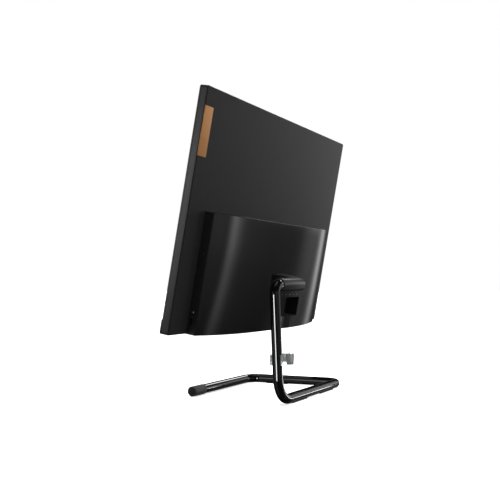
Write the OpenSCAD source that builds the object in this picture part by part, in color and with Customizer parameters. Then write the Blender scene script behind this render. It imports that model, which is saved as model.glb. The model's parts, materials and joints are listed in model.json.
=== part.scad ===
// All-in-one desktop computer: a thin display with its computer in a curved housing behind the
// lower half of the screen, hinged on a stand bent from one steel tube.
// Millimetres. The desk is Z = 0, the screen faces -Y, and X = 0 is the middle of the display.
// Parts of the head are drawn in the head's own frame: X across, Y behind the slab's rear face,
// Z up the slab from its bottom edge. in_head() leans that frame back and sets it on the hinge.

/* [Display head] */
// Width of the display slab
head_w = 541; // [530:1:556]
// Height of the display slab, measured up the slab
head_h = 330; // [324:1:342]
// Thickness of the slab at its rim
slab_d = 12.2; // [12:0.1:13]
// Radius of the slab's corners
corner_r = 3.5; // [2.5:0.5:6]
// Backward lean of the slab as the object stands
head_tilt = 10.3; // [6:0.1:14]
// Height of the chin under the screen
chin_h = 19.5; // [19:0.5:21]
// How far the chin stands in front of the screen's rim
chin_step = 1.2; // [0.8:0.1:2]
// Wall of the moulded covers
wall = 2.2; // [1.8:0.1:2.4]

/* [Computer housing] */
// Width of the housing behind the screen
comp_w = 446; // [440:1:452]
// Height of the housing
comp_h = 168.5; // [168:0.5:176]
// Depth of the housing at its side walls
comp_side_d = 14; // [13:0.5:16]
// Depth of the housing at its middle
comp_mid_d = 31.3; // [30.5:0.1:33]

/* [Hinge] */
// Height of the hinge axis above the desk
hinge_z = 179; // [170:1:200]
// Distance of the hinge axis behind the slab's rear face
hinge_back = 62.2; // [60:0.1:66]
// Height of the hinge axis above the slab's bottom edge
hinge_up = 78.6; // [77:0.1:80]
// Radius of the hinge barrel
barrel_r = 10; // [9.8:0.1:11]
// Radius of the hinge shaft
shaft_r = 4; // [3.5:0.1:4.5]
// X of the barrel's inner end
barrel_x0 = -6; // [-8:1:-4]
// X of the barrel's outer end, where the tube enters
barrel_x1 = 78; // [76:1:82]

/* [Stand] */
// Radius of the stand's tube
tube_r = 7.5; // [7:0.1:7.6]
// Wall of the stand's tube
tube_wall = 1.8; // [1.5:0.1:2.2]
// Distance between the centrelines of the front and rear bars
base_span = 170.3; // [150:0.1:200]
// X of the side bar's centreline
side_bar_x = -190; // [-220:1:-150]
// X of the front bar's free end, with its sleeve
free_end_x = 31; // [10:1:60]
// Bend radius of the base's two corners
corner_bend_r = 22; // [20:1:32]
// Bend radius between the rear bar and the leg
leg_bend_r = 40; // [30:1:50]
// Bend radius of the elbow at the hinge
elbow_r = 13; // [12.5:0.5:18]
// Outward lean of the leg
leg_lean = 5.3; // [3:0.1:7]
// How far the rubber pads lift the tube off the desk
pad_lift = 0.6; // [0.4:0.1:1]
// Length of the rubber sleeve on the free end
sleeve_l = 37; // [30:1:60]

/* [Cable clip] */
// Height of the clip's middle above the desk
clip_z = 69.3; // [62:0.1:80]
// Height of the clip along the leg
clip_h = 15.4; // [12:0.1:20]
// Reach of the cable loop from the leg's axis
clip_reach = 26.7; // [26:0.1:28]
// Wall of the clip
clip_wall = 1.6; // [1.4:0.1:2]
// How far the cable loop sits above the ring
loop_rise = 2.2; // [0:0.1:4]

/* [Hidden] */
$fn = 64;
eps = 0.5;

// Layers of the slab, as distances behind its rear face
front_y = -slab_d;
bezel_back_y = front_y + 2.6;
glass_t = 1.6;
glass_y = front_y + 0.2;
guide_y = glass_y + glass_t + 0.1;
guide_t = 2.2;
plate_y = guide_y + guide_t + 0.1;
plate_t = 1;
chassis_y = plate_y + plate_t + 0.2;
chassis_t = 1.2;
chassis_back_y = chassis_y + chassis_t;
chin_y = front_y - chin_step;
rim_w = 2.4;
glass_gap = 0.1;
rear_wall = 2;

// Circuit board inside the housing
board_y = -1.6;
board_t = 1.6;
board_x0 = -208;
board_x1 = -30;
board_z0 = 58;
board_z1 = 162;
cover_screw_x = [-120, -60, 0, 60, 120];
cover_screw_y = -5.6;
cover_screw_r = 2;
cover_screw_head = 1.2;
board_holes = [for (x = [board_x0 + 5, -119, board_x1 - 5], z = [board_z0 + 5, board_z1 - 5]) [x, z]];

memory_z = [67, 103];

// Processor, heat pipe, fins and fan
cpu = [-85, 122];
cpu_size = [38, 28, 1.4];
cold_t = 3;
pipe_r = 3;
pipe_y = cpu_size[2] + cold_t + pipe_r;
pipe_z = 157;
pipe_bend_r = 16;
fin_x0 = 32;
fin_x1 = 106;
fin_count = 24;
fan = [69, 111];
fan_side = 76;
fan_y0 = 2;
fan_h = 17;
impeller_r = 31;
hub_r = 12;
axle_r = 1.5;
blade_count = 23;

// Recess for the rear sockets
bay_x0 = -96;
bay_x1 = 12;
bay_z0 = 20;
bay_z1 = 51.5;
bay_y = 8;
bay_wall = 1.6;
bay_gap = 0.1;
panel_z1 = 67.4;

// Sockets of the recess: X, width, middle's distance behind the slab, depth of the mouth
sockets = [
    [-82.5, 11.4, 15, 5.2], [-66, 13.8, 16.4, 9.4], [-50.6, 15, 15, 5.4],
    [-34.6, 6, 16.4, 13.2], [-17.3, 6, 16.4, 13.2], [0, 6, 16.4, 13.2]
];
io_y = 9.4;
socket_l = 13;

// Sockets on the side wall
side_x = comp_w / 2;
jack = [5.4, 25.7];
jack_r = 1.8;
jack_l = 14;
jack_collar_r = 3;
side_port_z = 17.4;
lock = [6, 110.6];
light = [6.5, 31.2];
light_r = 0.8;

// Camera, shutter and button in the chin
camera_x = 0;
nub_x = 14;
chin_mid_z = chin_h / 2;
chin_wall = 1.6;
shutter_travel = 8;
button_x = 235;
button_w = 14;
button_d = 5;

// Hinge
bush_gap = 0.05;
bore_r = tube_r + 0.5;
tube_in = 16;
tube_end_x = barrel_x1 - tube_in;
cowl_x0 = -14;
cowl_x1 = 35;
cowl_top = hinge_up + 11.4;
cowl_bottom = hinge_up - 11;
arm_x0 = -8;
arm_x1 = 28;
hinge_screw_x = [-19, 51];
hinge_screw_z = [60, 108];
hinge_screw_hole = 2.1;
arm_z0 = hinge_up - 6;
arm_z1 = hinge_up + 6;

// Stand
sleeve_r = tube_r + pad_lift;
tube_z = sleeve_r;
leg_y = (base_span + sleeve_r - clip_reach) / 2;
front_bar_y = leg_y - base_span;
elbow_x = barrel_x1 + 1.5;
leg_foot_x = elbow_x + (elbow_r - leg_bend_r
    - (hinge_z - elbow_r - tube_z - leg_bend_r) * sin(leg_lean)) / cos(leg_lean);
leg_bottom = [leg_foot_x + leg_bend_r * cos(leg_lean), tube_z + leg_bend_r * (1 - sin(leg_lean))];
leg_top = [elbow_x + elbow_r * cos(leg_lean), hinge_z - elbow_r * (1 + sin(leg_lean))];
bend_slim = 0.12;
bend_lap = 0.8;
pad_w = 7;

// Clip
clip_ring_r = tube_r + 0.05;
lip_x = 3.5;
lip_y = 8.9;
lip_r = 1.2;
loop_r = 4.4;
loop_y = clip_reach - loop_r - clip_wall;
loop_gap = 1.4;
web_half = 2;
web_z = 5.6;

// Colours
satin_black = [0.09, 0.09, 0.1];
matt_black = [0.14, 0.14, 0.15];
gloss_black = [0.03, 0.03, 0.03];
rubber_grey = [0.3, 0.3, 0.3];
steel = [0.62, 0.63, 0.65];
board_green = [0.05, 0.25, 0.12];
copper = [0.72, 0.43, 0.25];
gold = [0.8, 0.62, 0.3];

// ---------- helpers ----------

module in_head() {
    translate([0, leg_y, hinge_z]) rotate([-head_tilt, 0, 0])
        translate([0, -hinge_back, -hinge_up]) children();
}

// Extrudes a 2D shape drawn in X and Z from y0 to y1
module slab(y0, y1) {
    translate([0, y1, 0]) rotate([90, 0, 0]) linear_extrude(y1 - y0) children();
}

// Box from its low corner to its high corner
module block(a, b) {
    translate(a) cube(b - a);
}

// Rectangle with round corners, from exact squares and circles
module round_rect(x0, x1, z0, z1, r) {
    translate([x0 + r, z0]) square([x1 - x0 - 2 * r, z1 - z0]);
    translate([x0, z0 + r]) square([x1 - x0, z1 - z0 - 2 * r]);
    for (x = [x0 + r, x1 - r], z = [z0 + r, z1 - r]) translate([x, z]) circle(r);
}

// Cylinder along X, from x0 to x1
module rod_x(x0, x1, r) {
    translate([x0, 0, 0]) rotate([0, 90, 0]) cylinder(h = x1 - x0, r = r);
}

// Cylinder along Y, from y0 to y1
module rod_y(y0, y1, r) {
    translate([0, y0, 0]) rotate([-90, 0, 0]) cylinder(h = y1 - y0, r = r);
}

module on_hinge_axis() {
    translate([0, hinge_back, hinge_up]) children();
}

module head_outline(inset) {
    round_rect(-head_w / 2 + inset, head_w / 2 - inset, inset, head_h - inset, corner_r - min(inset, 2));
}

// Depth of the housing's curved rear at a distance x from its middle
function rear_depth(x) =
    comp_mid_d - (comp_mid_d - comp_side_d) * pow(abs(x) / (comp_w / 2), 3);

// Housing section across its width, thinned all round by inset and reaching forward to y0
module comp_section(inset, y0) {
    half = comp_w / 2 - inset;
    steps = 24;
    polygon(concat(
        [[-half, y0]],
        [for (i = [-steps:steps]) let (k = i / steps) [k * half, rear_depth(k * comp_w / 2) - inset]],
        [[half, y0]]));
}

module vent_row(x0, x1, count, z0, z1, y0, y1, slot_w) {
    pitch = (x1 - x0) / (count - 1);
    for (i = [0:count - 1])
        block([x0 + i * pitch - slot_w / 2, y0, z0], [x0 + i * pitch + slot_w / 2, y1, z1]);
}

// ---------- display ----------

module front_bezel() {
    color(matt_black) in_head() slab(front_y, bezel_back_y) difference() {
        head_outline(0);
        translate([-head_w / 2 - eps, -eps]) square([head_w + 2 * eps, chin_h + eps]);
        translate([-head_w / 2 + rim_w, chin_h - eps])
            square([head_w - 2 * rim_w, head_h - chin_h - rim_w + eps]);
    }
}

module chin_cover() {
    color(matt_black) in_head() difference() {
        slab(chin_y, bezel_back_y) intersection() {
            head_outline(0);
            translate([-head_w / 2, 0]) square([head_w, chin_h]);
        }
        block([-head_w / 2 + wall, chin_y + chin_wall, wall],
              [head_w / 2 - wall, bezel_back_y + eps, chin_h - chin_wall]);
        translate([camera_x, 0, chin_mid_z]) rod_y(chin_y - eps, chin_y + 3, 2.6);
        for (x = [-30, 30])
            translate([x, 0, chin_mid_z]) rod_y(chin_y - eps, chin_y + 3, 0.6);
        block([nub_x - shutter_travel - 0.2, chin_y - eps, chin_mid_z - 1],
              [nub_x + 3.2, chin_y + 3, chin_mid_z + 1]);
        block([button_x - button_w / 2 - 0.3, front_y + 4 - button_d / 2 - 0.3, -eps],
              [button_x + button_w / 2 + 0.3, bezel_back_y + eps, wall + eps]);
    }
}

module lcd_panel() {
    color(gloss_black) in_head() slab(glass_y, glass_y + glass_t)
        translate([-head_w / 2 + rim_w + glass_gap, chin_h + glass_gap])
            square([head_w - 2 * (rim_w + glass_gap), head_h - chin_h - rim_w - 2 * glass_gap]);
}

module light_guide() {
    color([0.85, 0.87, 0.9]) in_head() slab(guide_y, guide_y + guide_t)
        translate([-head_w / 2 + 6, chin_h + 5]) square([head_w - 12, head_h - chin_h - 11]);
}

module led_strip() {
    color([0.95, 0.93, 0.8]) in_head()
        block([-head_w / 2 + 8, guide_y, chin_h + 3], [head_w / 2 - 8, guide_y + guide_t, chin_h + 4.8]);
}

module lcd_back_plate() {
    color(steel) in_head() slab(plate_y, plate_y + plate_t)
        translate([-head_w / 2 + 4, chin_h + 1]) square([head_w - 8, head_h - chin_h - 6]);
}

module main_chassis() {
    color(steel) in_head() {
        slab(chassis_y, chassis_back_y) difference() {
            translate([-head_w / 2 + 5, chin_h + 1.5]) square([head_w - 10, head_h - chin_h - 8]);
            translate([-82, 172]) square([34, 12]);
            for (x = [-200, 0, 200]) translate([x, 250]) circle(18);
        }
        for (h = board_holes) translate([h[0], 0, h[1]]) difference() {
            rod_y(chassis_back_y, board_y, 3);
            rod_y(chassis_back_y + 0.4, board_y + eps, 1.25);
        }
    }
}

module rear_cover() {
    color(matt_black) in_head() difference() {
        slab(bezel_back_y, 0) head_outline(0);
        slab(bezel_back_y - eps, -rear_wall)
            round_rect(-head_w / 2 + rear_wall, head_w / 2 - rear_wall,
                rear_wall, head_h - rear_wall, 1.5);
        slab(-rear_wall - eps, eps) round_rect(-216, 216, 5, 163, 4);
        block([button_x - button_w / 2 - 0.3, bezel_back_y - eps, -eps],
              [button_x + button_w / 2 + 0.3, front_y + 4 + button_d / 2 + 0.3, rear_wall + eps]);
        for (x = cover_screw_x) translate([x, cover_screw_y, -eps]) {
            cylinder(h = cover_screw_head + eps, r = cover_screw_r + 0.05);
            cylinder(h = rear_wall + 2 * eps, r = 1.15);
        }
    }
}

module badge_plate() {
    color(copper) in_head() slab(0, 0.8) round_rect(head_w / 2 - 23, head_w / 2 - 0.4, 238, 304, 0.8);
}

// ---------- computer housing ----------

// Housing cover, in an upper part and two lower parts with the speakers' slots
module compute_cover() {
    color(satin_black) in_head() difference() {
        linear_extrude(comp_h) comp_section(0, 0);
        translate([0, 0, wall]) linear_extrude(comp_h - 2 * wall) comp_section(wall, -eps);
        block([bay_x0 - bay_wall - bay_gap, -eps, -eps],
              [bay_x1 + bay_wall + bay_gap, comp_mid_d + eps, panel_z1 + bay_gap]);
        block([-comp_w / 2 - eps, -eps, panel_z1], [comp_w / 2 + eps, comp_mid_d + eps, panel_z1 + bay_gap]);
        block([arm_x0 - 1, comp_mid_d - 2 * wall, arm_z0 - 1], [arm_x1 + 1, comp_mid_d + eps, arm_z1 + 1]);
        vent_row(fin_x0 + 4, fin_x1 - 4, 15, comp_h - wall - eps, comp_h + eps, 5, 20, 2.2);
        vent_row(24, 114, 19, -eps, wall + eps, 6, 22, 2.2);
        for (s = [-1, 1]) vent_row(s * 165 - 30, s * 165 + 30, 11, -eps, wall + eps, 4, 12, 2);
        translate([0, jack[0], jack[1]]) rod_x(side_x - wall - eps, side_x + eps, jack_collar_r);
        block([side_x - wall - eps, jack[0] - 1.7, side_port_z - 4.6],
              [side_x + eps, jack[0] + 1.7, side_port_z + 4.6]);
        block([side_x - wall - eps, lock[0] - 1.5, lock[1] - 3.5],
              [side_x + eps, lock[0] + 1.5, lock[1] + 3.5]);
        translate([0, light[0], light[1]]) rod_x(side_x - wall - eps, side_x + eps, light_r + 0.02);
    }
}

// Panel that closes the notch in the cover, with the recess whose ceiling carries the sockets
module io_bay() {
    top = bay_z1 + bay_wall;
    color(gloss_black) in_head() difference() {
        intersection() {
            block([bay_x0 - bay_wall, 0, 0], [bay_x1 + bay_wall, comp_mid_d + eps, panel_z1]);
            linear_extrude(comp_h) comp_section(0, 0);
        }
        block([bay_x0, bay_y, bay_z0], [bay_x1, comp_mid_d + eps, bay_z1]);
        block([bay_x0 - bay_wall - eps, -eps, wall], [bay_x1 + bay_wall + eps, bay_y - bay_wall, comp_h]);
        intersection() {
            for (z = [[wall, bay_z0 - bay_wall], [top, panel_z1 + eps]])
                block([bay_x0, 0, z[0]], [bay_x1, comp_mid_d, z[1]]);
            linear_extrude(comp_h) comp_section(wall, -eps);
        }
        for (s = sockets) block([s[0] - s[1] / 2, s[2] - s[3] / 2, bay_z1 - eps],
                                [s[0] + s[1] / 2, s[2] + s[3] / 2, top + eps]);
    }
}

// ---------- boards and their parts ----------

module motherboard() {
    color(board_green) in_head() {
        difference() {
            block([board_x0, board_y, board_z0], [board_x1, board_y + board_t, board_z1]);
            for (h = board_holes) translate([h[0], 0, h[1]]) rod_y(board_y - eps, eps, 1.7);
        }
        for (z = memory_z) block([-204, 0, z - 0.5], [-134, 3.2, z + 3.5]);
        block([-50, 0, 64], [-45, 3, 86]);
        block([-131, 0, 120], [-109, 3, 124]);
        for (i = [0:6]) translate([-116 + i * 9, 0, 148]) block([0, 0, 0], [6, 3, 6]);
    }
}

module processor() {
    color([0.25, 0.27, 0.3]) in_head() translate([cpu[0], 0, cpu[1]])
        block([-cpu_size[0] / 2, 0, -cpu_size[1] / 2], [cpu_size[0] / 2, cpu_size[2], cpu_size[1] / 2]);
}

module cold_plate() {
    color(copper) in_head() translate([cpu[0], cpu_size[2], cpu[1]]) difference() {
        block([-21, 0, -17], [21, cold_t, 17]);
        for (x = [-18, 18], z = [-14, 14]) translate([x, 0, z]) rod_y(-eps, cold_t + eps, 1.1);
    }
}

module heat_pipe() {
    color(copper) in_head() translate([0, pipe_y, 0]) {
        translate([cpu[0], 0, cpu[1] - 16]) cylinder(h = pipe_z - pipe_bend_r - cpu[1] + 16, r = pipe_r);
        translate([cpu[0] + pipe_bend_r, 0, pipe_z - pipe_bend_r]) rotate([90, 0, 0]) rotate([0, 0, 90])
            rotate_extrude(angle = 90) translate([pipe_bend_r, 0]) circle(pipe_r);
        translate([0, 0, pipe_z]) rod_x(cpu[0] + pipe_bend_r, fin_x1 - 1, pipe_r);
    }
}

module fin_stack() {
    fin_t = 0.4;
    pitch = (fin_x1 - fin_x0 - fin_t) / (fin_count - 1);
    color(steel) in_head() difference() {
        for (i = [0:fin_count - 1])
            block([fin_x0 + i * pitch, fan_y0, 151], [fin_x0 + i * pitch + fin_t, fan_y0 + 16, 164]);
        translate([0, pipe_y, pipe_z]) rod_x(fin_x0 - eps, fin_x1 + eps, pipe_r);
    }
}

module fan_housing() {
    color([0.12, 0.12, 0.12]) in_head() translate([fan[0], fan_y0, fan[1]]) difference() {
        block([-fan_side / 2, 0, -fan_side / 2], [fan_side / 2, fan_h, fan_side / 2]);
        rod_y(1.2, fan_h - 1.2, impeller_r + 3);
        block([-impeller_r - 3, 1.2, 0], [impeller_r + 3, fan_h - 1.2, fan_side / 2 + eps]);
        rod_y(fan_h - 1.2 - eps, fan_h + eps, impeller_r - 5);
    }
    color(steel) in_head() translate([fan[0], fan_y0, fan[1]]) rod_y(1, fan_h - 4, axle_r);
}

module fan_impeller() {
    color([0.2, 0.2, 0.22]) in_head() translate([fan[0], fan_y0 + 1.8, fan[1]]) difference() {
        union() {
            rod_y(0, fan_h - 4, hub_r);
            rod_y(0, 0.8, impeller_r);
            for (i = [0:blade_count - 1]) rotate([0, i * 360 / blade_count, 0])
                translate([hub_r - 0.5, 0, 0]) rotate([0, 12, 0])
                block([0, 0, -0.4], [impeller_r - hub_r - 0.6, fan_h - 4.6, 0.4]);
        }
        rod_y(-eps, fan_h - 5, axle_r + 0.1);
    }
}

module memory_module(z) {
    color(board_green) in_head() {
        block([-202.8, 3.3, z], [-135.2, 4.3, z + 30]);
        for (i = [0:3]) block([-198 + i * 16, 4.3, z + 12], [-187 + i * 16, 5.3, z + 24]);
    }
}

module memory_module_1() { memory_module(memory_z[0]); }
module memory_module_2() { memory_module(memory_z[1]); }

module solid_state_drive() {
    color([0.06, 0.12, 0.2]) in_head() {
        block([-130, 3.1, 64], [-48, 3.9, 86]);
        for (x = [-120, -98]) block([x, 3.9, 68], [x + 16, 5.1, 82]);
    }
}

module wireless_card() {
    color([0.1, 0.14, 0.3]) in_head() {
        block([-131, 3.1, 92], [-109, 3.9, 122]);
        block([-127, 3.9, 96], [-113, 5.4, 112]);
    }
}

module coin_cell() {
    color(steel) in_head() translate([-50, 0, 100]) rod_y(0, 3.2, 10);
}

module io_board() {
    color(board_green) in_head()
        block([bay_x0 + 2, io_y - 1.6, bay_z1 + bay_wall + 0.2], [bay_x1 - 2, io_y, bay_z1 + bay_wall + 16]);
}

// Metal shell of a downward socket with a mouth cut into it
module socket(s, skin, tongue) {
    z0 = bay_z1 + 0.2;
    mouth = 2 * skin;
    difference() {
        block([s[0] - s[1] / 2 + 0.1, s[2] - s[3] / 2 + 0.1, z0],
              [s[0] + s[1] / 2 - 0.1, s[2] + s[3] / 2 - 0.1, z0 + socket_l]);
        block([s[0] - s[1] / 2 + skin, s[2] - s[3] / 2 + skin, z0 - eps],
              [s[0] + s[1] / 2 - skin, s[2] + s[3] / 2 - skin, z0 + socket_l - 1.5]);
    }
    half = [(s[1] - mouth) * tongue[0] / 2, (s[3] - mouth) * tongue[1] / 2];
    if (tongue[1] > 0)
        block([s[0] - half[0], s[2] - half[1], z0 + 1],
              [s[0] + half[0], s[2] + half[1], z0 + socket_l - 1]);
}

module power_inlet() { color(gold) in_head() socket(sockets[0], 0.6, [0.6, 0.25]); }
module network_port() { color(steel) in_head() socket(sockets[1], 0.6, [1, 0]); }
module video_port() { color(steel) in_head() socket(sockets[2], 0.5, [0.7, 0.25]); }
module usb_ports() { color(steel) in_head() for (i = [3:5]) socket(sockets[i], 0.4, [0.3, 0.9]); }

// ---------- drives and sound ----------

module hard_drive() {
    color(steel) in_head() difference() {
        block([114, -2, 40], [214, 7, 110]);
        block([118, 6.2, 44], [190, 7 + eps, 106]);
    }
}

module drive_bracket() {
    color([0.4, 0.4, 0.42]) in_head() difference() {
        block([112.6, chassis_back_y, 38.6], [215.4, 5, 111.4]);
        block([114, -2, 40], [214, 7, 110]);
        block([118, chassis_back_y - eps, 46], [210, eps, 104]);
    }
}

module speaker(side) {
    color([0.1, 0.1, 0.1]) in_head() translate([side * 165, 0, 0]) difference() {
        block([-38, 0.3, wall + 0.3], [38, 13, 26]);
        translate([0, 6, 0]) for (x = [-16, 16]) translate([x, 0, 0]) cylinder(h = 5, r = 4.6);
    }
}

module speaker_left() { speaker(-1); }
module speaker_right() { speaker(1); }

// ---------- chin ----------

module camera_module() {
    color(gloss_black) in_head() translate([camera_x, 0, chin_mid_z]) {
        rod_y(chin_y + 3.4, chin_y + 5.4, 3.2);
        block([-20, chin_y + 5.4, -4], [20, chin_y + 6.4, 4]);
    }
}

module camera_shutter() {
    plate_y0 = chin_y + chin_wall + 0.3;
    color([0.5, 0.1, 0.08]) in_head() translate([camera_x, 0, chin_mid_z]) {
        block([4, plate_y0, -4], [18, plate_y0 + 0.8, 4]);
        block([nub_x, chin_y - 0.4, -0.7], [nub_x + 3, plate_y0 + 0.2, 0.7]);
    }
}

module microphone_board() {
    color(board_green) in_head() for (x = [-30, 30]) translate([x, 0, chin_mid_z]) {
        block([-5, chin_y + 2, -3], [5, chin_y + 3, 3]);
        block([-1.8, chin_y + 3, -1.4], [1.8, chin_y + 4, 1.4]);
    }
}

module power_switch() {
    color(steel) in_head() translate([button_x, front_y + 4, 0]) {
        block([-8, -2.6, 9.5], [8, 2.6, 11]);
        block([-3, -2.5, 6.5], [3, 2.5, 9.5]);
    }
}

module power_button() {
    color([0.2, 0.2, 0.21]) in_head() translate([button_x, front_y + 4, 0]) {
        block([-button_w / 2, -button_d / 2, -0.5], [button_w / 2, button_d / 2, wall + 0.4]);
        block([-button_w / 2 - 1.4, -button_d / 2, wall + 0.4],
              [button_w / 2 + 1.4, button_d / 2, wall + 1.4]);
        block([-1.5, -1.5, wall + 1.4], [1.5, 1.5, 5.4]);
    }
}

// ---------- side sockets and aerials ----------

module side_board() {
    color(board_green) in_head() block([207, 0, 10], [208.6, 11, 36]);
}

module audio_jack() {
    color(gloss_black) in_head() translate([0, jack[0], jack[1]]) difference() {
        union() {
            block([208.6, -3, -3.2], [side_x - wall - 0.2, 3, 3.2]);
            rod_x(side_x - wall - 0.4, side_x, jack_collar_r - 0.1);
        }
        rod_x(side_x - jack_l, side_x + eps, jack_r);
    }
}

module side_port() {
    color(steel) in_head() translate([0, jack[0], side_port_z]) difference() {
        block([208.6, -1.6, -4.4], [side_x - 0.3, 1.6, 4.4]);
        block([side_x - 7, -1.3, -4.1], [side_x, 1.3, 4.1]);
    }
}

module activity_light() {
    color([0.9, 0.9, 0.85]) in_head() translate([0, light[0], light[1]]) rod_x(208.6, side_x - 0.1, light_r);
}

module antenna(side) {
    color(gold) in_head() translate([side * 120, 0, 0]) {
        block([-25, -3.6, 308], [25, -3, 318]);
        block([-25, -3, 308], [-10, -rear_wall, 312]);
    }
}

module antenna_left() { antenna(-1); }
module antenna_right() { antenna(1); }

module display_cable() {
    ribbon_t = 0.3;
    color([0.75, 0.5, 0.2]) in_head() {
        block([-77, 0, 158.2], [-53, ribbon_t, 162.6]);
        block([-77, -3.4, 162.6 - ribbon_t], [-53, ribbon_t, 162.6]);
        block([-77, -3.4, 162.6 - ribbon_t], [-53, ribbon_t - 3.4, 177]);
        block([-77, plate_y + plate_t, 177 - ribbon_t], [-53, ribbon_t - 3.4, 177]);
        block([-77, plate_y + plate_t, 177 - ribbon_t], [-53, plate_y + plate_t + ribbon_t, 183.5]);
    }
}

module board_screws() {
    color(steel) in_head() for (h = board_holes) translate([h[0], 0, h[1]]) {
        rod_y(chassis_back_y + 0.8, 0, 1.2);
        rod_y(0, 1.4, 2.8);
    }
}

module cover_screws() {
    color(gloss_black) in_head() for (x = cover_screw_x) translate([x, cover_screw_y, 0]) difference() {
        union() {
            cylinder(h = cover_screw_head, r = cover_screw_r);
            cylinder(h = 5, r = 1.1);
        }
        translate([0, 0, -eps]) cylinder(h = 0.7 + eps, r = 0.9, $fn = 6);
    }
}

// ---------- hinge ----------

module hinge_bracket() {
    color(steel) in_head() difference() {
        union() {
            block([-26, chassis_back_y, 52], [60, chassis_back_y + 2.5, 116]);
            block([arm_x0, chassis_back_y + 2.5, arm_z0], [arm_x1, hinge_back, arm_z1]);
        }
        on_hinge_axis() rod_x(barrel_x0 - 10, barrel_x1, barrel_r);
        block([arm_x0 + 3, chassis_back_y - eps, arm_z0 + 3],
              [arm_x1 - 3, hinge_back - barrel_r - 6, arm_z1 - 3]);
        for (x = hinge_screw_x, z = hinge_screw_z) translate([x, 0, z])
            rod_y(chassis_back_y - eps, eps, hinge_screw_hole);
    }
}

module hinge_screws() {
    color(steel) in_head() for (x = hinge_screw_x, z = hinge_screw_z) translate([x, 0, z]) {
        rod_y(chassis_back_y, chassis_back_y + 2.5, 2);
        rod_y(chassis_back_y + 2.5, chassis_back_y + 5, 3.6);
    }
}

// Moulded cowl from the housing to the barrel, tangent to the barrel above and below
module hinge_cover() {
    color(satin_black) in_head() difference() {
        translate([cowl_x0, 0, 0]) rotate([90, 0, 90]) linear_extrude(cowl_x1 - cowl_x0)
            polygon([
                [comp_mid_d - wall, cowl_top], [comp_mid_d - wall, cowl_bottom],
                [hinge_back - 4, hinge_up - barrel_r - 0.3], [hinge_back - 4, hinge_up + barrel_r + 0.3]
            ]);
        linear_extrude(comp_h) comp_section(0, 0);
        on_hinge_axis() rod_x(cowl_x0 - eps, cowl_x1 + eps, barrel_r);
        block([arm_x0 - 0.3, 0, arm_z0 - 0.3], [arm_x1 + 0.3, hinge_back, arm_z1 + 0.3]);
    }
}

module hinge_barrel() {
    color(satin_black) in_head() on_hinge_axis() difference() {
        rod_x(barrel_x0, barrel_x1, barrel_r);
        rod_x(barrel_x0 - eps, barrel_x1 + eps, bore_r);
    }
}

module barrel_cap() {
    color(matt_black) in_head() on_hinge_axis() {
        rod_x(barrel_x0, barrel_x0 + 3, bore_r);
        rod_x(barrel_x0 - 1, barrel_x0, barrel_r);
    }
}

module hinge_bushes() {
    color([0.55, 0.5, 0.35]) in_head() on_hinge_axis() for (x = [12, 42]) difference() {
        rod_x(x, x + 14, bore_r);
        rod_x(x - eps, x + 14 + eps, shaft_r + bush_gap);
    }
}

module on_shaft_axis() {
    translate([0, leg_y, hinge_z]) children();
}

module hinge_shaft() {
    color(steel) on_shaft_axis() rod_x(1, barrel_x1 - 4, shaft_r);
}

module friction_washers() {
    color(steel) on_shaft_axis() for (i = [0:4]) difference() {
        rod_x(27.4 + i * 2.6, 29.2 + i * 2.6, bore_r - 0.6);
        rod_x(27 + i * 2.6, 30 + i * 2.6, shaft_r);
    }
}

module shaft_nut() {
    color(steel) on_shaft_axis() difference() {
        translate([3, 0, 0]) rotate([0, 90, 0]) cylinder(h = 7, r = bore_r - 0.6, $fn = 6);
        rod_x(2, 11, shaft_r);
    }
}

module tube_plug() {
    color(steel) on_shaft_axis() difference() {
        rod_x(tube_end_x, tube_end_x + 12, tube_r - tube_wall);
        rod_x(tube_end_x - eps, tube_end_x + 12 + eps, shaft_r);
    }
}

// ---------- stand ----------

// Bends are drawn a trifle slimmer than the straight runs, which reach a little way into them
module bend(bend_r, from, sweep, r) {
    rotate([0, 0, from]) rotate_extrude(angle = sweep) translate([bend_r, 0]) circle(r - bend_slim);
}

// The tube's whole route as a solid rod of radius r, longer by extra at both ends
module tube_route(r, extra) {
    translate([0, front_bar_y, tube_z])
        rod_x(side_bar_x + corner_bend_r - bend_lap, free_end_x - 2 + extra, r);
    translate([side_bar_x + corner_bend_r, front_bar_y + corner_bend_r, tube_z])
        bend(corner_bend_r, 180, 90, r);
    translate([side_bar_x, 0, tube_z])
        rod_y(front_bar_y + corner_bend_r - bend_lap, leg_y - corner_bend_r + bend_lap, r);
    translate([side_bar_x + corner_bend_r, leg_y - corner_bend_r, tube_z])
        bend(corner_bend_r, 90, 90, r);
    translate([0, leg_y, tube_z]) rod_x(side_bar_x + corner_bend_r - bend_lap, leg_foot_x + bend_lap, r);
    translate([leg_foot_x, leg_y, tube_z + leg_bend_r]) rotate([90, 0, 0])
        bend(leg_bend_r, -90, 90 - leg_lean, r);
    translate([leg_bottom[0], leg_y, leg_bottom[1]]) rotate([0, leg_lean, 0])
        translate([0, 0, -bend_lap]) cylinder(h = norm(leg_top - leg_bottom) + 2 * bend_lap, r = r);
    translate([elbow_x, leg_y, hinge_z - elbow_r]) rotate([90, 0, 0])
        bend(elbow_r, -leg_lean, 90 + leg_lean, r);
    translate([0, leg_y, hinge_z]) rod_x(tube_end_x - extra, elbow_x + bend_lap, r);
}

module stand_tube() {
    color(gloss_black) difference() {
        tube_route(tube_r, 0);
        tube_route(tube_r - tube_wall, eps);
    }
}

module foot_sleeve() {
    color(rubber_grey) translate([0, front_bar_y, tube_z]) difference() {
        rod_x(free_end_x - sleeve_l, free_end_x, sleeve_r);
        rod_x(free_end_x - sleeve_l - eps, free_end_x - 2, tube_r);
    }
}

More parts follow.
